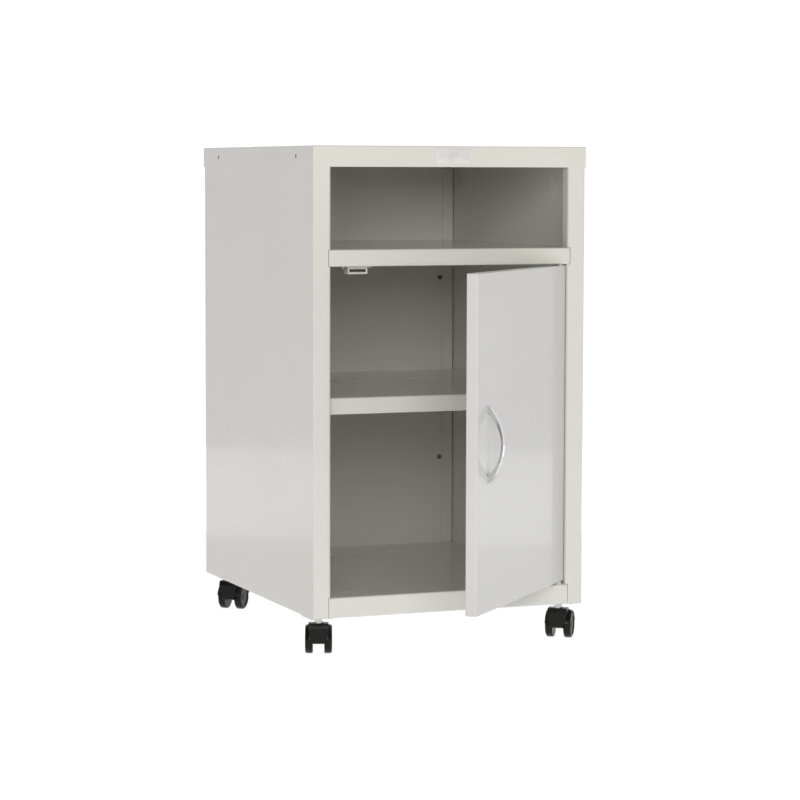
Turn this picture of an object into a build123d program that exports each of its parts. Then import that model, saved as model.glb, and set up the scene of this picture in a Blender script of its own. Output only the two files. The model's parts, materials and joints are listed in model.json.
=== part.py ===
from build123d import *
import os
from math import cos, radians, sin

# A steel printer stand on four twin-wheel casters, in millimetres.
# The origin is on the floor under the cabinet's centre. +Z is up, the door side faces -Y.

# Driving dimensions of the cabinet
cabinet_width = 440
cabinet_depth = 520
cabinet_height = 700
ground_clearance = 60
sheet = 1.0
fit_gap = 0.2

# Side walls: each is one sheet, folded into a column at the front and another at the rear
column_width = 28
column_return = 19
column_bend = 4
outer_bend = 2.5
rear_column_width = 34.5
rear_lip = 12
back_inset = 11.5
wall_flange = 15

# Top cover
cover_skirt = 31
cover_gap = 0.1
cover_edge = 1.6
seam_gap = 0.4
cover_screw_depths = (73, 443)
cover_screw_drop = 15.5

# Shelves: heights of the top faces above the cabinet's underside
upper_shelf_top = 547.5
middle_shelf_top = 327
bottom_panel_top = 31
shelf_lip = 25
lip_bend = 2.4
lip_end = 24.5
lip_gap = 0.8
lip_relief = 0.3
tab_depth = 3.9
middle_shelf_setback = 20
return_flange = 18
catch_flange = 40
caster_flange = 60
caster_side_flange = 48
cleat_depths = (90, 385)
cleat_leg = 16
cleat_width = 12
cleat_drop = 18
cleat_sheet = 1.5
cleat_screw_from_wall = 8.5
gusset_sheet = 2
gusset_inner = 62
gusset_outer = 2.6
gusset_spans = ((21.6, 80), (440, 505.8))

# Top-hat stiffeners under the cover and inside the door
stiffener_sheet = 0.8
rail_half_width = 32
rail_crown = 17
rail_depth = 15
rail_end_gap = 30
channel_half_width = 36
channel_crown = 20
channel_depth = 10
channel_end_gap = 22

# Blank name plate on the cover's front skirt
badge_width = 59
badge_height = 21
badge_thickness = 0.8
badge_from_left = 222.5
badge_centre = 685.5

# Back panel
margin_width = 20
margin_step = 1.5
margin_top = 668
back_screw_inset = 26.5
back_screw_heights = (178, 484)

# Door, hung on two pins at its right edge, and the angle it stands open at
door_angle = 45.8
door_width = 378.5
door_thickness = 17.5
door_bottom = 36
door_top = 520.5
door_flange = 14
door_corner = 2
pivot_from_left = 402.5
pivot_from_front = 7
pivot_from_edge = 6.5
pin_radius = 3.0
pin_head = 1.4
pin_head_radius = 4.6
washer_radius = 5.5
press_gap = 0.01
bush_radius = 4.0
bush_flange_radius = 5.0
bush_flange = 1.0
running_gap = 0.05

# Bow handle
handle_from_free_edge = 44.5
handle_height = 276.7
handle_length = 113.8
handle_rise = 23.5
handle_bar = 3.2
handle_width = 7.5
handle_end_width = 10.5
handle_end_length = 17
handle_hole_spacing = 96
groove_spacing = 3.1
groove_width = 0.9
groove_depth = 0.6

# Magnetic catch under the upper shelf
catch_left = 52
catch_width = 50
catch_body_left = 61
catch_body_width = 31
catch_drop = 12
catch_front = 18
catch_rear = 36
catch_flange_sheet = 1.6
catch_screw_inset = 4.5
catch_screw_from_front = 27
magnet_half_width = 12.7
magnet_rear = 31
pole_sheet = 0.9

# Casters: where each swivel axis stands and which way each caster trails
front_caster_inset = 22
rear_caster_inset = 30
caster_from_front = 38
caster_from_rear = 36
caster_trail = 15
wheel_radius = 20
wheel_width = 11.7
wheels_width = 40.6
hood_top = 48.5
fender_thickness = 3.6
fender_bottom = 24
plate_size = 42
plate_thickness = 2.5
plate_hole_spacing = 28
stem_radius = 4.0
stem_bottom = 25
neck_radius = 5.5
axle_radius = 2.0
caster_angles = {"front_left": 69, "front_right": 54, "rear_left": 50, "rear_right": 60}

base = ground_clearance
wall_top = cabinet_height - sheet - cover_gap
back_face = cabinet_depth - back_inset
os.makedirs("parts", exist_ok=True)


def at(from_left, from_front):
    """A place on the cabinet's plan, measured from its left wall and its front face."""
    return (from_left - cabinet_width / 2, from_front - cabinet_depth / 2)


def level(height):
    """The horizontal plane at a height above the cabinet's underside."""
    return Plane.XY.offset(base + height)


def save(piece, name):
    """Labels a finished piece and writes it as one STEP file."""
    piece.part.label = name
    export_step(piece.part, f"parts/{name}.step")


def rectangle_between(low, high):
    """A sketch rectangle between two corners on the plan."""
    with Locations(((low[0] + high[0]) / 2, (low[1] + high[1]) / 2)):
        Rectangle(abs(high[0] - low[0]), abs(high[1] - low[1]))


# ---------------------------------------------------------------- side walls
wall_outline = [
    at(column_width, column_return),
    at(column_width, 0),
    at(0, 0),
    at(0, cabinet_depth),
    at(rear_column_width, cabinet_depth),
    at(rear_column_width, back_face),
    at(rear_column_width - rear_lip, back_face),
]
wall_bends = [column_bend, outer_bend, outer_bend, outer_bend, 1.5]
lip_spans = ((0, bottom_panel_top), (upper_shelf_top - shelf_lip, upper_shelf_top))

with BuildPart() as left_side_panel:
    with BuildSketch(level(0)):
        with BuildLine():
            FilletPolyline(*wall_outline, radius=wall_bends)
            offset(amount=sheet, side=Side.RIGHT)
        make_face()
    extrude(amount=wall_top)
    with BuildSketch(level(wall_top)):
        rectangle_between(at(sheet / 2, 25), at(wall_flange, back_face - 25))
    extrude(amount=-sheet)
    for span_bottom, span_top in lip_spans:
        with BuildSketch(level(span_bottom - fit_gap)):
            rectangle_between(
                at(lip_end - lip_gap, -1), at(column_width + 1, tab_depth + fit_gap)
            )
        extrude(amount=span_top - span_bottom + 2 * fit_gap, mode=Mode.SUBTRACT)
    for depth in cover_screw_depths:
        wall_hole = at(0, depth)
        hole_height = base + cabinet_height - cover_screw_drop
        with BuildSketch(Plane.YZ.offset(-cabinet_width / 2 - 1)):
            with Locations((wall_hole[1], hole_height)):
                Circle(2.3)
        extrude(amount=3, mode=Mode.SUBTRACT)
    for height in back_screw_heights:
        lip_hole = at(back_screw_inset, back_face - 1)
        with BuildSketch(Plane.XZ.offset(-lip_hole[1])):
            with Locations((lip_hole[0], base + height)):
                Circle(2.1)
        extrude(amount=-3, mode=Mode.SUBTRACT)
save(left_side_panel, "left_side_panel")

with BuildPart() as right_side_panel:
    mirror(left_side_panel.part, about=Plane.YZ)
save(right_side_panel, "right_side_panel")

# ---------------------------------------------------------------- top cover
cover_width = cabinet_width + 2 * (cover_gap + sheet)
cover_depth = cabinet_depth + 2 * (cover_gap + sheet)
skirt_bottom = cabinet_height - cover_skirt

with BuildPart() as top_cover:
    with BuildSketch(level(skirt_bottom)):
        RectangleRounded(cover_width, cover_depth, 1.4)
    extrude(amount=cover_skirt)
    fillet(top_cover.faces().sort_by(Axis.Z)[-1].edges(), cover_edge)
    with BuildSketch(level(skirt_bottom)):
        Rectangle(cover_width - 2 * sheet, cover_depth - 2 * sheet)
    extrude(amount=cover_skirt - sheet, mode=Mode.SUBTRACT)
    # open corner seams between the front or rear skirt and the side skirts
    with BuildSketch(level(skirt_bottom)):
        for side in (-1, 1):
            for end in (-1, 1):
                with Locations((side * cover_width / 2, end * (cover_depth / 2 - sheet - seam_gap / 2))):
                    Rectangle(2 * sheet - 0.1, seam_gap)
    extrude(amount=cover_skirt - 2.4, mode=Mode.SUBTRACT)
    for depth in cover_screw_depths:
        for side in (-1, 1):
            screw_y = at(0, depth)[1]
            screw_z = base + cabinet_height - cover_screw_drop
            outward = Plane(origin=(side * cover_width / 2, screw_y, screw_z), z_dir=(side, 0, 0))
            with BuildSketch(outward):
                Circle(3.3)
            with BuildSketch(outward.offset(-sheet)):
                Circle(2.3)
            loft(mode=Mode.SUBTRACT)
save(top_cover, "top_cover")

with BuildPart() as cover_stiffener:
    # a top-hat rail under the cover's middle, which carries the printer's weight
    with BuildSketch(Plane.XZ.offset(cabinet_depth / 2 - rail_end_gap)):
        with BuildLine():
            rail_top = base + cabinet_height - sheet - stiffener_sheet
            rail_foot = rail_top - rail_depth
            hat = [(-rail_half_width, rail_top), (-rail_crown, rail_top), (3 - rail_crown, rail_foot)]
            hat += [(-x, y) for x, y in reversed(hat)]
            FilletPolyline(*hat, radius=1.5)
            offset(amount=stiffener_sheet, side=Side.LEFT)
        make_face()
    extrude(amount=-(back_face - 2 * rail_end_gap))
save(cover_stiffener, "cover_stiffener")

with BuildPart() as badge_plate:
    badge_place = at(badge_from_left, -(cover_gap + sheet))
    with BuildSketch(Plane.XZ.offset(-badge_place[1])):
        with Locations((badge_place[0], base + badge_centre)):
            RectangleRounded(badge_width, badge_height, 1.5)
    extrude(amount=badge_thickness)
    fillet(badge_plate.faces().sort_by(Axis.Y)[0].edges(), 0.3)
save(badge_plate, "badge_plate")

with BuildPart() as cover_screws:
    for depth in cover_screw_depths:
        for side in (-1, 1):
            screw_y = at(0, depth)[1]
            screw_z = base + cabinet_height - cover_screw_drop
            mouth = side * (cover_width / 2 - 0.15)
            outward = Plane(origin=(mouth, screw_y, screw_z), z_dir=(side, 0, 0))
            with BuildSketch(outward):
                Circle(3.1)
            with BuildSketch(outward.offset(-1.2)):
                Circle(1.9)
            loft()
            with BuildSketch(outward.offset(-1.2)):
                Circle(1.9)
            extrude(amount=-9)
            with BuildSketch(outward):
                Rectangle(3.4, 0.8)
                Rectangle(0.8, 3.4)
            extrude(amount=-0.6, mode=Mode.SUBTRACT)
save(cover_screws, "cover_screws")


# ---------------------------------------------------------------- back panel
def back_profile():
    """Plan of the back panel's front face: a flat field between two stepped-back margins."""
    field_edge = margin_width + 2
    field_face = back_face - sheet
    left_half = [
        at(2.2, field_face + margin_step),
        at(field_edge - 1.4, field_face + margin_step),
        at(field_edge, field_face),
    ]
    right_half = [(-x, y) for x, y in reversed(left_half)]
    return left_half + right_half


with BuildPart() as back_panel:
    with BuildSketch(level(0)):
        with BuildLine():
            FilletPolyline(*back_profile(), radius=0.8)
            offset(amount=sheet, side=Side.LEFT)
        make_face()
    extrude(amount=wall_top - 1.5)
    for side in (-1, 1):
        with BuildSketch(level(margin_top)):
            with Locations((side * (cabinet_width / 2 - 11), at(0, back_face)[1])):
                Rectangle(22, 8)
        extrude(amount=40, mode=Mode.SUBTRACT)
        for height in back_screw_heights:
            with BuildSketch(Plane.XZ.offset(-at(0, back_face + 2)[1])):
                with Locations((side * (cabinet_width / 2 - back_screw_inset), base + height)):
                    Circle(2.1)
            extrude(amount=6, mode=Mode.SUBTRACT)
save(back_panel, "back_panel")

with BuildPart() as back_panel_screws:
    for side in (-1, 1):
        for height in back_screw_heights:
            centre = (side * (cabinet_width / 2 - back_screw_inset), base + height)
            head_plane = Plane.XZ.offset(-at(0, back_face - sheet)[1])
            with BuildSketch(head_plane):
                with Locations(centre):
                    Circle(3.9)
            extrude(amount=2.4)
            with BuildSketch(head_plane):
                with Locations(centre):
                    Circle(2.0)
            extrude(amount=-8)
            with BuildSketch(head_plane.offset(2.4)):
                with Locations(centre):
                    Rectangle(4.2, 1.0)
                    Rectangle(1.0, 4.2)
            extrude(amount=-1.0, mode=Mode.SUBTRACT)
    fillet(back_panel_screws.edges().filter_by(GeomType.CIRCLE).group_by(Axis.Y)[0], 0.9)
save(back_panel_screws, "back_panel_screws")


# ---------------------------------------------------------------- shelves
def tray_outline(front):
    """Plan of a shelf that fills the cabinet; with front at 0 its lip also fills the door opening."""
    wall_gap = sheet + fit_gap
    rear = back_face - sheet - fit_gap
    if front > 0:
        left_half = [at(wall_gap, rear), at(wall_gap, front)]
    else:
        left_half = [
            at(wall_gap, rear),
            at(wall_gap, column_return + 1.3),
            at(column_width + 0.4, column_return + 1.3),
            at(column_width + 0.4, tab_depth),
            at(lip_end, tab_depth),
            at(lip_end, 0),
        ]
    return left_half + [(-x, y) for x, y in reversed(left_half)]


def tray_block(front, bottom, height, inset, bend):
    """A solid over a shelf's outline, drawn in by an inset, with its front edges rounded."""
    with BuildPart() as block:
        with BuildSketch(level(bottom)):
            with BuildLine():
                Polyline(*tray_outline(front), close=True)
            make_face()
            if inset:
                offset(amount=-inset, kind=Kind.INTERSECTION)
        extrude(amount=height)
        front_face = block.faces().sort_by(Axis.Y)[0]
        fillet(front_face.edges().filter_by(Axis.X), bend)
    return block


def folded_tray(front, top, lip, flanges, holes):
    """A shelf folded from one sheet: top, lips on all four sides and a return flange under them."""
    front_flange, side_flange, rear_flange = flanges
    bottom = top - lip
    outside = tray_block(front, bottom, lip, 0, lip_bend)
    hollow = tray_block(front, bottom + sheet, lip - 2 * sheet, sheet, lip_bend - sheet)
    with BuildPart() as tray:
        add(outside.part)
        add(hollow.part, mode=Mode.SUBTRACT)
        with BuildSketch(level(bottom)):
            rectangle_between(
                at(side_flange, front + front_flange),
                at(cabinet_width - side_flange, back_face - rear_flange),
            )
        extrude(amount=2 * sheet, mode=Mode.SUBTRACT)
        for places, radius, height in holes:
            with BuildSketch(level(height - 1)):
                with Locations(*places):
                    Circle(radius)
            extrude(amount=3, mode=Mode.SUBTRACT)
        if front == 0:
            # bend reliefs: the lip's ends reach past the top sheet, into the columns' notches
            relief_x = cabinet_width / 2 - column_width - 0.4 - lip_relief / 2
            with BuildSketch(level(top - lip_bend)):
                with Locations((-relief_x, at(0, 0)[1]), (relief_x, at(0, 0)[1])):
                    Rectangle(lip_relief, 2 * tab_depth + 0.4)
            extrude(amount=lip_bend, mode=Mode.SUBTRACT)
    return tray


hinge_place = at(pivot_from_left, pivot_from_front)
spare_hinge_place = at(cabinet_width - pivot_from_left, pivot_from_front)
cleat_screw_x = (cleat_screw_from_wall, cabinet_width - cleat_screw_from_wall)
cleat_screw_places = [at(x, y) for x in cleat_screw_x for y in cleat_depths]
catch_screw_places = [
    at(catch_left + catch_screw_inset, catch_screw_from_front),
    at(catch_left + catch_width - catch_screw_inset, catch_screw_from_front),
]
upper_shelf_bottom = upper_shelf_top - shelf_lip
middle_shelf_bottom = middle_shelf_top - shelf_lip

shelf_flanges = (return_flange, return_flange, return_flange)
upper_shelf = folded_tray(
    0,
    upper_shelf_top,
    shelf_lip,
    (catch_flange, return_flange, return_flange),
    [
        ([hinge_place, spare_hinge_place], pin_radius, upper_shelf_bottom),
        (cleat_screw_places + catch_screw_places, 1.6, upper_shelf_bottom),
    ],
)
save(upper_shelf, "upper_shelf")

middle_shelf = folded_tray(
    middle_shelf_setback,
    middle_shelf_top,
    shelf_lip,
    shelf_flanges,
    [(cleat_screw_places, 1.6, middle_shelf_bottom)],
)
save(middle_shelf, "middle_shelf")

caster_places = {
    "front_left": at(front_caster_inset, caster_from_front),
    "front_right": at(cabinet_width - front_caster_inset, caster_from_front),
    "rear_left": at(rear_caster_inset, cabinet_depth - caster_from_rear),
    "rear_right": at(cabinet_width - rear_caster_inset, cabinet_depth - caster_from_rear),
}
half_spacing = plate_hole_spacing / 2
caster_screw_places = [
    (x + i * half_spacing, y + j * half_spacing)
    for x, y in caster_places.values()
    for i in (-1, 1)
    for j in (-1, 1)
]
bottom_panel = folded_tray(
    0,
    bottom_panel_top,
    bottom_panel_top,
    (caster_flange, caster_side_flange, caster_flange),
    [
        ([hinge_place], washer_radius + press_gap, bottom_panel_top - sheet),
        ([spare_hinge_place], pin_radius, bottom_panel_top - sheet),
        (caster_screw_places, 2.1, 0),
    ],
)
save(bottom_panel, "bottom_panel")

with BuildPart() as caster_gussets:
    # reinforcing plates on the bottom panel's return flange, one over each caster
    with BuildSketch(level(sheet)):
        for side in (-1, 1):
            for near, far in gusset_spans:
                wall_x = side * (cabinet_width / 2 - gusset_outer)
                middle_x = side * (cabinet_width / 2 - gusset_inner)
                rectangle_between((wall_x, at(0, near)[1]), (middle_x, at(0, far)[1]))
        with Locations(*caster_screw_places):
            Circle(2.1, mode=Mode.SUBTRACT)
    extrude(amount=gusset_sheet)
save(caster_gussets, "caster_gussets")

with BuildPart() as shelf_cleats:
    # angle brackets welded to the walls under the two upper shelves
    for shelf_bottom in (upper_shelf_bottom, middle_shelf_bottom):
        for side in (-1, 1):
            for depth in cleat_depths:
                wall_face = side * (cabinet_width / 2 - sheet)
                upright = wall_face - side * cleat_sheet / 2
                arm = wall_face - side * cleat_leg / 2
                middle = at(0, depth)[1]
                with BuildSketch(level(shelf_bottom)):
                    with Locations((arm, middle)):
                        Rectangle(cleat_leg, cleat_width)
                extrude(amount=-cleat_sheet)
                with BuildSketch(level(shelf_bottom)):
                    with Locations((upright, middle)):
                        Rectangle(cleat_sheet, cleat_width)
                extrude(amount=-cleat_drop)
                with BuildSketch(level(shelf_bottom)):
                    with Locations((side * (cabinet_width / 2 - cleat_screw_from_wall), middle)):
                        Circle(1.6)
                extrude(amount=-cleat_sheet, mode=Mode.SUBTRACT)
save(shelf_cleats, "shelf_cleats")

with BuildPart() as shelf_screws:
    for shelf_bottom in (upper_shelf_bottom, middle_shelf_bottom):
        head_top = shelf_bottom - cleat_sheet
        with BuildSketch(level(head_top)):
            with Locations(*cleat_screw_places):
                Circle(3.0)
        extrude(amount=-2)
        with BuildSketch(level(head_top)):
            with Locations(*cleat_screw_places):
                Circle(1.5)
        extrude(amount=6)
        with BuildSketch(level(head_top - 2)):
            with Locations(*cleat_screw_places):
                Rectangle(3.4, 0.8)
                Rectangle(0.8, 3.4)
        extrude(amount=0.8, mode=Mode.SUBTRACT)
save(shelf_screws, "shelf_screws")

# ---------------------------------------------------------------- magnetic catch
catch_middle = catch_body_left + catch_body_width / 2
catch_bottom = upper_shelf_bottom - catch_drop

with BuildPart() as catch_housing:
    with BuildSketch(level(upper_shelf_bottom)):
        rectangle_between(at(catch_left, 20), at(catch_left + catch_width, 34))
    extrude(amount=-catch_flange_sheet)
    with BuildSketch(level(upper_shelf_bottom)):
        rectangle_between(
            at(catch_body_left, catch_front), at(catch_body_left + catch_body_width, catch_rear)
        )
    extrude(amount=-catch_drop)
    fillet(catch_housing.faces().sort_by(Axis.Z)[0].edges(), 1.0)
    with BuildSketch(level(catch_bottom + 2.6)):
        rectangle_between(
            at(catch_middle - magnet_half_width - 0.3, 0),
            at(catch_middle + magnet_half_width + 0.3, magnet_rear),
        )
    extrude(amount=5.4, mode=Mode.SUBTRACT)
    with BuildSketch(level(upper_shelf_bottom)):
        with Locations(*catch_screw_places):
            SlotCenterToCenter(2, 3.4, rotation=90)
    extrude(amount=-3, mode=Mode.SUBTRACT)
save(catch_housing, "catch_housing")

with BuildPart() as catch_magnet:
    with BuildSketch(level(catch_bottom + 3.5)):
        rectangle_between(
            at(catch_middle - magnet_half_width, catch_front + 0.9),
            at(catch_middle + magnet_half_width, magnet_rear),
        )
    extrude(amount=3.6)
save(catch_magnet, "catch_magnet")

with BuildPart() as catch_pole_plates:
    # two steel plates, one on each face of the magnet, which the door's sheet closes
    for plate_bottom in (2.6, 7.1):
        with BuildSketch(level(catch_bottom + plate_bottom)):
            rectangle_between(
                at(catch_middle - magnet_half_width, catch_front - 0.2),
                at(catch_middle + magnet_half_width, magnet_rear),
            )
        extrude(amount=pole_sheet)
save(catch_pole_plates, "catch_pole_plates")

with BuildPart() as catch_screws:
    with BuildSketch(level(upper_shelf_bottom - catch_flange_sheet)):
        with Locations(*catch_screw_places):
            Circle(2.9)
    extrude(amount=-1.8)
    with BuildSketch(level(upper_shelf_bottom - catch_flange_sheet)):
        with Locations(*catch_screw_places):
            Circle(1.5)
    extrude(amount=8)
    with BuildSketch(level(upper_shelf_bottom - catch_flange_sheet - 1.8)):
        with Locations(*catch_screw_places):
            Rectangle(3.2, 0.8)
            Rectangle(0.8, 3.2)
    extrude(amount=0.8, mode=Mode.SUBTRACT)
save(catch_screws, "catch_screws")

# ---------------------------------------------------------------- hinge
washer_top = door_bottom - bush_flange - running_gap


def pin(head_from, shank_to):
    """A headed hinge pin on the pivot axis, from its head's outer face to its tip."""
    direction = 1 if shank_to > head_from else -1
    with BuildPart() as headed_pin:
        with BuildSketch(level(head_from)):
            with Locations(hinge_place):
                Circle(pin_head_radius)
        extrude(amount=pin_head * direction)
        with BuildSketch(level(head_from)):
            with Locations(hinge_place):
                Circle(pin_radius)
        extrude(amount=shank_to - head_from)
        tip = headed_pin.faces().sort_by(Axis.Z)[-1 if direction > 0 else 0]
        chamfer(tip.edges(), 0.8)
    return headed_pin


save(pin(bottom_panel_top - sheet - pin_head, door_bottom + 10), "hinge_pin_bottom")
save(pin(upper_shelf_bottom + sheet + pin_head, door_top - 12.5), "hinge_pin_top")

with BuildPart() as hinge_washer:
    # pressed into the bottom panel's sheet; it stands on the pin's head and carries the door
    with BuildSketch(level(bottom_panel_top - sheet)):
        with Locations(hinge_place):
            Circle(washer_radius)
            Circle(pin_radius + 0.2, mode=Mode.SUBTRACT)
    extrude(amount=washer_top - bottom_panel_top + sheet)
save(hinge_washer, "hinge_washer")

# ---------------------------------------------------------------- door
door_x = (cos(radians(door_angle)), sin(radians(door_angle)), 0)
door_plane = Plane(origin=(hinge_place[0], hinge_place[1], base), x_dir=door_x, z_dir=(0, 0, 1))
door_height = door_top - door_bottom
door_middle = pivot_from_edge - door_width / 2
door_mid_depth = door_thickness / 2 - pivot_from_front
face_normal = (sin(radians(door_angle)), -cos(radians(door_angle)), 0)


def bush(start, length, flange_start):
    """A flanged plastic bush in the door's end, running on a hinge pin."""
    with BuildPart() as flanged:
        with BuildSketch(door_plane.offset(start)):
            Circle(bush_radius)
        extrude(amount=length)
        with BuildSketch(door_plane.offset(flange_start)):
            Circle(bush_flange_radius)
        extrude(amount=bush_flange)
        with BuildSketch(door_plane.offset(min(start, flange_start) - 1)):
            Circle(pin_radius + running_gap)
        extrude(amount=length + 4, mode=Mode.SUBTRACT)
    return flanged


save(bush(door_bottom, 6, door_bottom - bush_flange), "hinge_bush_bottom")
save(bush(door_top - 6, 6, door_top), "hinge_bush_top")

with BuildPart() as door_panel:
    with BuildSketch(door_plane.offset(door_bottom)):
        with Locations((door_middle, door_mid_depth)):
            RectangleRounded(door_width, door_thickness, door_corner)
    extrude(amount=door_height)
    end_edges = door_panel.edges().filter_by(Axis((0, 0, 0), door_x))
    fillet(end_edges.sort_by(Axis((0, 0, 0), face_normal))[-2:], 1.5)
    with BuildSketch(door_plane.offset(door_bottom + sheet)):
        with Locations((door_middle, door_mid_depth)):
            RectangleRounded(door_width - 2 * sheet, door_thickness - 2 * sheet, door_corner - sheet)
    extrude(amount=door_height - 2 * sheet, mode=Mode.SUBTRACT)
    with BuildSketch(door_plane.offset(door_bottom + door_flange)):
        with Locations((door_middle, door_thickness - pivot_from_front)):
            Rectangle(door_width - 2 * door_flange, 4)
    extrude(amount=door_height - 2 * door_flange, mode=Mode.SUBTRACT)
    with BuildSketch(door_plane.offset(door_bottom - 1)):
        Circle(bush_radius)
    extrude(amount=door_height + 2, mode=Mode.SUBTRACT)
    handle_x = pivot_from_edge - door_width + handle_from_free_edge
    handle_place = door_plane.from_local_coords(Vector(handle_x, -pivot_from_front, handle_height))
    handle_face = Plane(origin=handle_place, x_dir=door_x, z_dir=face_normal)
    with BuildSketch(handle_face.offset(1)):
        with Locations((0, handle_hole_spacing / 2), (0, -handle_hole_spacing / 2)):
            Circle(2.2)
    extrude(amount=-3, mode=Mode.SUBTRACT)
save(door_panel, "door_panel")

with BuildPart() as door_stiffener:
    # a top-hat channel up the middle of the door's inner face
    with BuildSketch(door_plane.offset(door_bottom + channel_end_gap)):
        with BuildLine():
            face = sheet - pivot_from_front
            hat = [(-channel_half_width, 0), (-channel_crown, 0), (2 - channel_crown, channel_depth)]
            hat += [(-x, y) for x, y in reversed(hat)]
            FilletPolyline(*[(door_middle + x, face + y) for x, y in hat], radius=1.2)
            offset(amount=stiffener_sheet, side=Side.LEFT)
        make_face()
    extrude(amount=door_height - 2 * channel_end_gap)
save(door_stiffener, "door_stiffener")

# The handle's side view: x is the rise off the door's face, y is along the door's height
half_length = handle_length / 2
outer_radius = (half_length**2 + handle_rise**2) / (2 * handle_rise)
inner_rise = handle_rise - handle_bar
inner_half = half_length - 12
side_view = Plane(origin=handle_place, x_dir=face_normal, z_dir=Vector(face_normal).cross(Vector(0, 0, 1)))

with BuildPart() as door_handle:
    with BuildSketch(side_view) as bow:
        with BuildLine():
            outer = ThreePointArc((0, -half_length), (handle_rise, 0), (0, half_length))
            inner = ThreePointArc((0, -inner_half), (inner_rise, 0), (0, inner_half))
            Line(outer @ 0, inner @ 0)
            Line(outer @ 1, inner @ 1)
        make_face()
    extrude(amount=handle_width / 2, both=True)
    # wider ends with lengthwise grooves
    with BuildSketch(side_view):
        add(bow.sketch_local)
        Rectangle(4 * handle_rise, 2 * (half_length - handle_end_length), mode=Mode.SUBTRACT)
    extrude(amount=handle_end_width / 2, both=True)
    for groove in (-1, 0, 1):
        with BuildSketch(side_view.offset(groove * groove_spacing)):
            with Locations((handle_rise - outer_radius, 0)):
                Circle(outer_radius + 1)
                Circle(outer_radius - groove_depth, mode=Mode.SUBTRACT)
            Rectangle(4 * handle_rise, 2 * (half_length - handle_end_length + 1), mode=Mode.SUBTRACT)
            with Locations((-2 * outer_radius, 0)):
                Rectangle(4 * outer_radius, 4 * outer_radius, mode=Mode.SUBTRACT)
        extrude(amount=groove_width / 2, both=True, mode=Mode.SUBTRACT)
    with BuildSketch(handle_face):
        with Locations((0, handle_hole_spacing / 2), (0, -handle_hole_spacing / 2)):
            Circle(2.0)
    extrude(amount=5.3, mode=Mode.SUBTRACT)
save(door_handle, "door_handle")

with BuildPart() as handle_screws:
    screw_spots = ((0, handle_hole_spacing / 2), (0, -handle_hole_spacing / 2))
    with BuildSketch(handle_face.offset(-sheet)):
        with Locations(*screw_spots):
            Circle(3.8)
    extrude(amount=-2.4)
    with BuildSketch(handle_face.offset(-sheet)):
        with Locations(*screw_spots):
            Circle(1.95)
    extrude(amount=5.8)
    with BuildSketch(handle_face.offset(-sheet - 2.4)):
        with Locations(*screw_spots):
            Rectangle(4.0, 1.0)
            Rectangle(1.0, 4.0)
    extrude(amount=1.0, mode=Mode.SUBTRACT)
save(handle_screws, "handle_screws")

# ---------------------------------------------------------------- casters
wheel_inner = wheels_width / 2 - wheel_width
web_half = wheel_inner - 0.5
fender_inner = wheel_radius + 0.8
fender_outer = fender_inner + fender_thickness
axle_end = wheels_width / 2 - 2.2
plate_bottom = base - plate_thickness

# Side view of the hood's body: x runs from the swivel axis towards the trailing side
hood_outline = [
    (-10.5, 18.5),
    (-10.5, 42),
    (-8, hood_top),
    (8.5, hood_top),
    (14, 43.5),
    (25, 40),
    (27, 20),
    (20, 14.5),
    (8, 14.5),
]
hood_bends = [3, 4, 2, 2, 3, 3, 4, 3, 3]
# Front view of the hood's body, half of it: broad over the wheels, narrow between them
hood_front = [(0, hood_top + 1), (15, hood_top + 1), (15, 40), (12.5, 25), (9, 18), (6.5, 14), (0, 14)]

with BuildPart() as caster_screws:
    with BuildSketch(Plane.XY.offset(plate_bottom)):
        with Locations(*caster_screw_places):
            Circle(3.6)
    extrude(amount=-1.8)
    with BuildSketch(Plane.XY.offset(plate_bottom)):
        with Locations(*caster_screw_places):
            Circle(2.0)
    extrude(amount=9)
    with BuildSketch(Plane.XY.offset(plate_bottom - 1.8)):
        with Locations(*caster_screw_places):
            Rectangle(3.8, 0.9)
            Rectangle(0.9, 3.8)
    extrude(amount=0.8, mode=Mode.SUBTRACT)
save(caster_screws, "caster_screws")


def mounting_plate(place):
    """The screwed-on plate, with a shallow pressed dome around the stem."""
    centre_x, centre_y = place
    with BuildPart() as plate:
        with BuildSketch(Plane.XY.offset(base)):
            with Locations(place):
                RectangleRounded(plate_size, plate_size, 5)
        extrude(amount=-plate_thickness)
        for height, radius in ((plate_bottom, 12.5), (plate_bottom - 3, 8)):
            with BuildSketch(Plane.XY.offset(height)):
                with Locations(place):
                    Circle(radius)
        loft()
        with BuildSketch(Plane.XY.offset(base)):
            with Locations(place):
                Circle(neck_radius)
                with GridLocations(plate_hole_spacing, plate_hole_spacing, 2, 2):
                    Circle(2.1)
        extrude(amount=-10, mode=Mode.SUBTRACT)
    return plate


def swivel_stem(place):
    """The riveted stem: a neck through the plate, a collar and the shaft inside the hood."""
    with BuildPart() as stem:
        for bottom, top, radius in (
            (hood_top + 1.8, base, neck_radius),
            (hood_top + 0.3, hood_top + 1.8, neck_radius + 1.5),
            (stem_bottom, hood_top + 0.3, stem_radius),
        ):
            with BuildSketch(Plane.XY.offset(bottom)):
                with Locations(place):
                    Circle(radius)
            extrude(amount=top - bottom)
        chamfer(stem.faces().sort_by(Axis.Z)[0].edges(), 0.8)
    return stem


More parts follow.
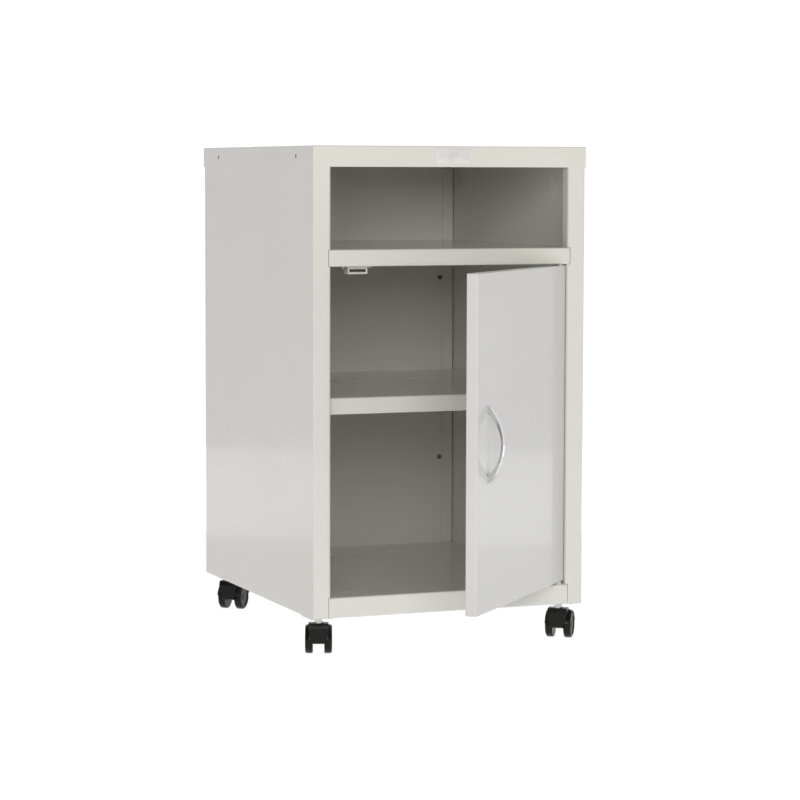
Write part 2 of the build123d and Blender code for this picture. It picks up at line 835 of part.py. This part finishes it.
def fender(front_plane):
    """A shell round the tops of both wheels, with rounded shoulders."""
    hub_plane = front_plane.offset(-caster_trail)
    half_width = wheels_width / 2 - 0.2
    shoulder = half_width - 5.5
    inner, outer = wheel_radius + fender_inner, wheel_radius + fender_outer
    with BuildPart() as shell:
        with BuildSketch(hub_plane):
            with BuildLine():
                left_half = [(-half_width, inner), (-half_width, inner + 1.4), (-shoulder, outer)]
                corners = left_half + [(-x, y) for x, y in reversed(left_half)]
                FilletPolyline(*corners, radius=[0.3, 1.5, 7, 7, 1.5, 0.3], close=True)
            make_face()
        hub_centre = hub_plane.from_local_coords(Vector(0, wheel_radius, 0))
        revolve(axis=Axis(hub_centre, hub_plane.x_dir))
        split(bisect_by=Plane.XY.offset(fender_bottom), keep=Keep.TOP)
    return shell


def hood(side_plane, front_plane, shell):
    """The swivel body: a web between the wheels and a stem housing, joined by the fender's shell."""
    with BuildPart() as body:
        with BuildSketch(side_plane):
            with BuildLine():
                FilletPolyline(*hood_outline, radius=hood_bends, close=True)
            make_face()
        extrude(amount=15, both=True)
        with BuildSketch(front_plane):
            with BuildLine():
                Polyline(*hood_front)
                mirror(about=Plane.YZ)
            make_face()
        extrude(amount=60, both=True, mode=Mode.INTERSECT)
        for wheel_side in (-1, 1):
            with BuildSketch(side_plane.offset(wheel_side * web_half)):
                with Locations((caster_trail, wheel_radius)):
                    Circle(fender_inner)
            extrude(amount=wheel_side * 20, mode=Mode.SUBTRACT)
        add(shell.part)
        with BuildSketch(Plane.XY.offset(stem_bottom - 1)):
            with Locations((side_plane.origin.X, side_plane.origin.Y)):
                Circle(stem_radius + running_gap)
        extrude(amount=hood_top, mode=Mode.SUBTRACT)
        with BuildSketch(side_plane):
            with Locations((caster_trail, wheel_radius)):
                Circle(axle_radius)
        extrude(amount=wheel_radius, both=True, mode=Mode.SUBTRACT)
    return body


def axle(side_plane):
    """The wheels' axle, pressed through the hood's web."""
    with BuildPart() as rod:
        with BuildSketch(side_plane):
            with Locations((caster_trail, wheel_radius)):
                Circle(axle_radius)
        extrude(amount=axle_end, both=True)
    return rod


# Section of one wheel: along the axle from the caster's middle, then out from the axle's centre
wheel_outer = wheels_width / 2
bore = axle_radius + running_gap
wheel_section = [
    (wheel_inner, bore),
    (wheel_inner, wheel_radius),
    (wheel_outer, wheel_radius),
    (wheel_outer, 15.2),
    (wheel_outer - 1.4, 14.2),
    (wheel_outer - 1.4, 6.2),
    (wheel_outer - 0.6, 5.4),
    (wheel_outer - 0.6, 0),
    (axle_end + 0.4, 0),
    (axle_end + 0.4, bore),
]
wheel_rounds = [0, 2, 3.4, 0.4, 0.4, 0.4, 0.3, 0, 0, 0]


def wheel(front_plane, wheel_side):
    """One wheel of the pair, on the given side of the web."""
    hub_plane = front_plane.offset(-caster_trail)
    with BuildPart() as disc:
        with BuildSketch(hub_plane):
            with BuildLine():
                points = [(wheel_side * x, wheel_radius + y) for x, y in wheel_section]
                FilletPolyline(*points, radius=wheel_rounds, close=True)
            make_face()
        hub_centre = hub_plane.from_local_coords(Vector(0, wheel_radius, 0))
        revolve(axis=Axis(hub_centre, hub_plane.x_dir))
    return disc


for corner, place in caster_places.items():
    turn = radians(caster_angles[corner])
    trailing = (cos(turn), sin(turn), 0)
    across = (sin(turn), -cos(turn), 0)
    side_plane = Plane(origin=(place[0], place[1], 0), x_dir=trailing, z_dir=across)
    front_plane = Plane(origin=(place[0], place[1], 0), x_dir=across, z_dir=(-cos(turn), -sin(turn), 0))
    save(mounting_plate(place), f"caster_{corner}_plate")
    save(swivel_stem(place), f"caster_{corner}_stem")
    save(hood(side_plane, front_plane, fender(front_plane)), f"caster_{corner}_hood")
    save(axle(side_plane), f"caster_{corner}_axle")
    save(wheel(front_plane, -1), f"caster_{corner}_wheel_left")
    save(wheel(front_plane, 1), f"caster_{corner}_wheel_right")
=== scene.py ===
import json
from math import cos, pi, radians, sin

import bmesh
import bpy
from mathutils import Matrix, Vector

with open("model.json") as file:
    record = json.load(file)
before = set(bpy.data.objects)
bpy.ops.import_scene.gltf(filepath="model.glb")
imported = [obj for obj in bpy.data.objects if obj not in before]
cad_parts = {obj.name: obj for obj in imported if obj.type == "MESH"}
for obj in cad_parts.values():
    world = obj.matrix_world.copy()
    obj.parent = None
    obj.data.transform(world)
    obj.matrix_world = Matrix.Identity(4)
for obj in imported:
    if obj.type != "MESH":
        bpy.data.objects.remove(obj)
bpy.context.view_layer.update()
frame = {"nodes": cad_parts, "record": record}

nodes = frame["nodes"]
scene = bpy.context.scene

# ---------------------------------------------------------------- camera
CAMERA_PLACE = (-1.572, -3.967, 0.720)
CAMERA_YAW = radians(21.89)
CAMERA_PITCH = radians(4.822)
CAMERA_ROLL = radians(0.141)
CAMERA_LENS = 121.07
SENSOR = 36


def make_camera():
    """A long lens from the front left, a little below the stand's top and looking slightly down."""
    level = cos(CAMERA_PITCH)
    forward = Vector((sin(CAMERA_YAW) * level, cos(CAMERA_YAW) * level, -sin(CAMERA_PITCH)))
    right = Vector((cos(CAMERA_YAW), -sin(CAMERA_YAW), 0))
    up = right.cross(forward)
    rolled_right = right * cos(CAMERA_ROLL) + up * sin(CAMERA_ROLL)
    rolled_up = up * cos(CAMERA_ROLL) - right * sin(CAMERA_ROLL)
    data = bpy.data.cameras.new("camera")
    data.lens = CAMERA_LENS
    data.sensor_width = SENSOR
    camera = bpy.data.objects.new("camera", data)
    axes = Matrix((rolled_right, rolled_up, -forward)).transposed().to_4x4()
    camera.matrix_world = Matrix.Translation(CAMERA_PLACE) @ axes
    scene.collection.objects.link(camera)
    scene.camera = camera


# ---------------------------------------------------------------- node helpers
def new_material(name):
    material = bpy.data.materials.new(name)
    material.use_nodes = True
    return material, material.node_tree, material.node_tree.nodes["Principled BSDF"]


def link(tree, source, target):
    tree.links.new(source, target)


def noise(tree, scale, detail=3.0, roughness=0.55, stretch=None):
    """A noise texture in the object's own space, with features 1/scale metres across."""
    coordinates = tree.nodes.new("ShaderNodeTexCoord")
    texture = tree.nodes.new("ShaderNodeTexNoise")
    texture.inputs["Scale"].default_value = scale
    texture.inputs["Detail"].default_value = detail
    texture.inputs["Roughness"].default_value = roughness
    source = coordinates.outputs["Object"]
    if stretch:
        mapping = tree.nodes.new("ShaderNodeMapping")
        mapping.inputs["Scale"].default_value = stretch
        link(tree, source, mapping.inputs["Vector"])
        source = mapping.outputs["Vector"]
    link(tree, source, texture.inputs["Vector"])
    return texture.outputs["Fac"]


def spread(tree, value, low, high, from_low=0.3, from_high=0.7):
    """Maps a texture's value onto a range of its own, easing into both ends."""
    node = tree.nodes.new("ShaderNodeMapRange")
    node.interpolation_type = "SMOOTHSTEP"
    node.inputs["From Min"].default_value = from_low
    node.inputs["From Max"].default_value = from_high
    node.inputs["To Min"].default_value = low
    node.inputs["To Max"].default_value = high
    link(tree, value, node.inputs["Value"])
    return node.outputs["Result"]


def blend_colours(tree, factor, first, second):
    """Mixes two colours, either of which may be a socket."""
    node = tree.nodes.new("ShaderNodeMix")
    node.data_type = "RGBA"
    for socket, colour in ((node.inputs[6], first), (node.inputs[7], second)):
        if isinstance(colour, bpy.types.NodeSocket):
            link(tree, colour, socket)
        else:
            socket.default_value = (*colour, 1)
    link(tree, factor, node.inputs[0])
    return node.outputs[2]


def times(tree, first, second):
    """The product of two values, either of which may be a socket."""
    node = tree.nodes.new("ShaderNodeMath")
    node.operation = "MULTIPLY"
    for socket, value in zip(node.inputs, (first, second)):
        if isinstance(value, bpy.types.NodeSocket):
            link(tree, value, socket)
        else:
            socket.default_value = value
    return node.outputs[0]


def edge_mask(tree, radius, sharpness):
    """1 along edges, 0 on flat faces: where the rounded normal leaves the face's own."""
    rounded = tree.nodes.new("ShaderNodeBevel")
    rounded.samples = 4
    rounded.inputs["Radius"].default_value = radius
    geometry = tree.nodes.new("ShaderNodeNewGeometry")
    product = tree.nodes.new("ShaderNodeVectorMath")
    product.operation = "DOT_PRODUCT"
    link(tree, rounded.outputs["Normal"], product.inputs[0])
    link(tree, geometry.outputs["Normal"], product.inputs[1])
    return spread(tree, product.outputs["Value"], 1, 0, from_low=1 - sharpness, from_high=1)


def bump(tree, shader, layers, smooth_edges=0.0):
    """Adds height layers, each (value, distance in metres), to the shader's normal."""
    normal = None
    if smooth_edges:
        rounded = tree.nodes.new("ShaderNodeBevel")
        rounded.samples = 4
        rounded.inputs["Radius"].default_value = smooth_edges
        normal = rounded.outputs["Normal"]
    for value, distance in layers:
        node = tree.nodes.new("ShaderNodeBump")
        node.inputs["Distance"].default_value = distance
        link(tree, value, node.inputs["Height"])
        if normal:
            link(tree, normal, node.inputs["Normal"])
        normal = node.outputs["Normal"]
    link(tree, normal, shader.inputs["Normal"])


# ---------------------------------------------------------------- materials
def powder_coat(name, colour, worn=0.3):
    """Gloss powder coat: faint orange peel, slow waves of the sheet, and rubbed edges."""
    material, tree, shader = new_material(name)
    shade = [channel * 0.975 for channel in colour]
    rubbed = [channel * 0.80 for channel in colour]
    tone = blend_colours(tree, spread(tree, noise(tree, 5, 1), 0, 1, 0.15, 0.85), colour, shade)
    edge = times(tree, edge_mask(tree, 0.0010, 0.25), spread(tree, noise(tree, 140, 4), 0, worn, 0.42, 0.62))
    link(tree, blend_colours(tree, edge, tone, rubbed), shader.inputs["Base Color"])
    link(tree, spread(tree, noise(tree, 9, 1), 0.24, 0.28, 0.1, 0.9), shader.inputs["Roughness"])
    shader.inputs["IOR"].default_value = 1.5
    shader.inputs["Specular IOR Level"].default_value = 0.25
    shader.inputs["Coat Weight"].default_value = 0.60
    shader.inputs["Coat Roughness"].default_value = 0.06
    shader.inputs["Coat IOR"].default_value = 1.5
    waves = (noise(tree, 2.6, 0), 0.00006)
    peel = (noise(tree, 480, 1), 0.0000030)
    bump(tree, shader, [waves, peel], smooth_edges=0.0004)
    return material


def chrome(name):
    """Polished chrome with fine rub marks."""
    material, tree, shader = new_material(name)
    tint = blend_colours(tree, spread(tree, noise(tree, 60), 0, 1), (0.80, 0.81, 0.82), (0.70, 0.71, 0.73))
    link(tree, tint, shader.inputs["Base Color"])
    link(tree, spread(tree, noise(tree, 260, 5), 0.06, 0.13), shader.inputs["Roughness"])
    shader.inputs["Metallic"].default_value = 1
    bump(tree, shader, [(noise(tree, 900, 3, stretch=(1, 1, 0.08)), 0.000004)], smooth_edges=0.0002)
    return material


def plated_steel(name, bright, dull, roughness):
    """Zinc-plated steel with a crystalline spangle and darker patches."""
    material, tree, shader = new_material(name)
    coordinates = tree.nodes.new("ShaderNodeTexCoord")
    cells = tree.nodes.new("ShaderNodeTexVoronoi")
    cells.inputs["Scale"].default_value = 900
    link(tree, coordinates.outputs["Object"], cells.inputs["Vector"])
    spangle = blend_colours(tree, spread(tree, cells.outputs["Distance"], 0, 1, 0, 0.8), bright, dull)
    stained = [channel * 0.55 for channel in dull]
    grime = spread(tree, noise(tree, 180, 5), 0, 0.6, 0.5, 0.75)
    link(tree, blend_colours(tree, grime, spangle, stained), shader.inputs["Base Color"])
    polish = spread(tree, noise(tree, 420, 4), roughness - 0.07, roughness + 0.1)
    link(tree, polish, shader.inputs["Roughness"])
    shader.inputs["Metallic"].default_value = 1
    bump(tree, shader, [(noise(tree, 1500, 3), 0.00001)], smooth_edges=0.00025)
    return material


def moulded_plastic(name, colour, roughness, grain, scuffed=0.0, dust=(0.20, 0.19, 0.17), sheen=0.5):
    """Moulded plastic: fine mould grain, glossier patches, and dusty scuffs on its edges."""
    material, tree, shader = new_material(name)
    shade = [channel * 0.78 for channel in colour]
    tone = blend_colours(tree, spread(tree, noise(tree, 45, 4), 0, 1), colour, shade)
    rub = spread(tree, noise(tree, 350, 5), 0, scuffed, 0.45, 0.65)
    scuffs = times(tree, edge_mask(tree, 0.0012, 0.3), rub)
    link(tree, blend_colours(tree, scuffs, tone, dust), shader.inputs["Base Color"])
    polish = spread(tree, noise(tree, 90, 5), roughness - 0.05, roughness + 0.09)
    link(tree, polish, shader.inputs["Roughness"])
    shader.inputs["IOR"].default_value = 1.5
    shader.inputs["Specular IOR Level"].default_value = sheen
    bump(tree, shader, [(noise(tree, 1400, 3), grain)], smooth_edges=0.0005)
    return material


def pale_floor(name, glow):
    """A plain pale studio floor, lit from below like a light table; it bounces less than it shows."""
    material, tree, shader = new_material(name)
    tone = blend_colours(tree, spread(tree, noise(tree, 1.5), 0, 1), (0.25, 0.25, 0.25), (0.24, 0.24, 0.24))
    link(tree, tone, shader.inputs["Base Color"])
    shader.inputs["Roughness"].default_value = 0.75
    shader.inputs["Specular IOR Level"].default_value = 0.1
    shader.inputs["Emission Color"].default_value = (1, 1, 1, 1)
    path = tree.nodes.new("ShaderNodeLightPath")
    strength = spread(tree, path.outputs["Is Diffuse Ray"], glow, glow * FLOOR_BOUNCE, 0, 1)
    link(tree, strength, shader.inputs["Emission Strength"])
    bump(tree, shader, [(noise(tree, 300, 3), 0.00003)])
    return material


def paint_everything():
    """Gives each CAD node the material of its slot in the record."""
    materials = {
        "cabinet_paint": powder_coat("cabinet_paint", (0.785, 0.780, 0.745)),
        "door_paint": powder_coat("door_paint", (0.720, 0.722, 0.712)),
        "structure_paint": powder_coat("structure_paint", (0.700, 0.690, 0.650), worn=0.2),
        "handle_chrome": chrome("handle_chrome"),
        "zinc_steel": plated_steel("zinc_steel", (0.74, 0.74, 0.72), (0.58, 0.58, 0.56), 0.28),
        "dark_screws": plated_steel("dark_screws", (0.30, 0.29, 0.27), (0.14, 0.14, 0.13), 0.42),
        "caster_housing": moulded_plastic(
            "caster_housing", (0.007, 0.0065, 0.0065), 0.24, 0.000004, scuffed=0.1, sheen=0.2
        ),
        "caster_wheels": moulded_plastic(
            "caster_wheels", (0.008, 0.0075, 0.0075), 0.26, 0.000004, scuffed=0.15, sheen=0.2
        ),
        "white_plastic": moulded_plastic(
            "white_plastic", (0.76, 0.76, 0.74), 0.38, 0.000008, dust=(0.45, 0.44, 0.41)
        ),
        "ferrite": moulded_plastic("ferrite", (0.030, 0.029, 0.028), 0.62, 0.00002),
        "nylon": moulded_plastic("nylon", (0.72, 0.71, 0.66), 0.42, 0.00001),
        "badge_plate": moulded_plastic("badge_plate", (0.86, 0.86, 0.86), 0.22, 0.000004),
    }
    slots = {part["node"]: part["material_slot"] for part in frame["record"]["subparts"]}
    for name, node in nodes.items():
        node.data.materials.clear()
        node.data.materials.append(materials[slots[name]])


# ---------------------------------------------------------------- stage
# Radii in metres; glows and lights are radiances, and each bounce is the share left for diffuse light
FLOOR_MIDDLE_RADIUS = 1.2
FLOOR_RIM_RADIUS = 2.9
FLOOR_GLOW = 0.92
FLOOR_RIM_GLOW = 1.25
FLOOR_BOUNCE = 0.80
FRONT_LIGHT = (0.64, 0.61, 0.54)
ZENITH_LIGHT = (0.16, 0.16, 0.16)
BACK_LIGHT = (0.90, 0.90, 0.92)
BACK_BOUNCE = 0.10
WHITE_BACKDROP = (1.05, 1.05, 1.05)
KEY_COLOUR = (1.0, 0.98, 0.94)
STAND_MIDDLE = (0, 0, 0.4)


def make_floor():
    """A pale floor: a disc under the stand and a brighter ring around it."""
    mesh = bpy.data.meshes.new("floor")
    shape = bmesh.new()
    bmesh.ops.create_circle(shape, cap_ends=True, segments=128, radius=FLOOR_MIDDLE_RADIUS)
    outer = bmesh.ops.extrude_edge_only(shape, edges=shape.edges[:])["geom"]
    scale = FLOOR_RIM_RADIUS / FLOOR_MIDDLE_RADIUS
    for vertex in outer:
        if isinstance(vertex, bmesh.types.BMVert):
            vertex.co = vertex.co * scale
    for face in shape.faces:
        face.material_index = 0 if len(face.verts) > 4 else 1
    bmesh.ops.recalc_face_normals(shape, faces=shape.faces[:])
    shape.to_mesh(mesh)
    shape.free()
    mesh.materials.append(pale_floor("floor_middle", FLOOR_GLOW))
    mesh.materials.append(pale_floor("floor_rim", FLOOR_RIM_GLOW))
    floor = bpy.data.objects.new("floor", mesh)
    scene.collection.objects.link(floor)


def make_world():
    """White for the eye; for the light, bright walls behind the stand and a dim warm room before it."""
    world = bpy.data.worlds.new("studio")
    world.use_nodes = True
    scene.world = world
    tree = world.node_tree
    background = tree.nodes["Background"]
    coordinates = tree.nodes.new("ShaderNodeTexCoord")
    parts = tree.nodes.new("ShaderNodeSeparateXYZ")
    link(tree, coordinates.outputs["Generated"], parts.inputs["Vector"])
    ahead = spread(tree, parts.outputs["Y"], 1, 0, -0.80, -0.20)
    level = spread(tree, parts.outputs["Z"], 1, 0, 0.2, 0.5)
    room = blend_colours(tree, times(tree, ahead, level), ZENITH_LIGHT, FRONT_LIGHT)
    behind = spread(tree, parts.outputs["Y"], 0, 1, 0.10, 0.32)
    low = spread(tree, parts.outputs["Z"], 1, 0, 0.42, 0.62)
    path = tree.nodes.new("ShaderNodeLightPath")
    dimmed = [channel * BACK_BOUNCE for channel in BACK_LIGHT]
    back = blend_colours(tree, path.outputs["Is Diffuse Ray"], BACK_LIGHT, dimmed)
    studio = blend_colours(tree, times(tree, behind, low), room, back)
    seen = blend_colours(tree, path.outputs["Is Camera Ray"], studio, WHITE_BACKDROP)
    link(tree, seen, background.inputs["Color"])


def softbox(name, place, target, size, radiance, colour=(1, 1, 1)):
    """A rectangular studio light of a given radiance, aimed at a point."""
    data = bpy.data.lights.new(name, "AREA")
    data.shape = "RECTANGLE"
    data.size, data.size_y = size
    data.energy = radiance * pi * size[0] * size[1]
    data.color = colour
    lamp = bpy.data.objects.new(name, data)
    aim = Vector(target) - Vector(place)
    lamp.matrix_world = Matrix.Translation(place) @ aim.to_track_quat("-Z", "Y").to_matrix().to_4x4()
    scene.collection.objects.link(lamp)


def light_studio():
    """A low key light from the front left, with weak fills from the right and from above."""
    scene.view_settings.view_transform = "Standard"
    make_world()
    make_floor()
    softbox("key_light", (-1.1, -3.4, 1.35), (0, 0, 0.35), (2.0, 1.0), 6.8, KEY_COLOUR)
    softbox("right_light", (2.6, -2.0, 2.6), STAND_MIDDLE, (1.6, 1.4), 0.2)
    softbox("top_light", (0, 0, 3.2), (0, 0, 0), (3.0, 3.0), 0.20)


# ---------------------------------------------------------------- the stand
make_camera()
light_studio()
paint_everything()
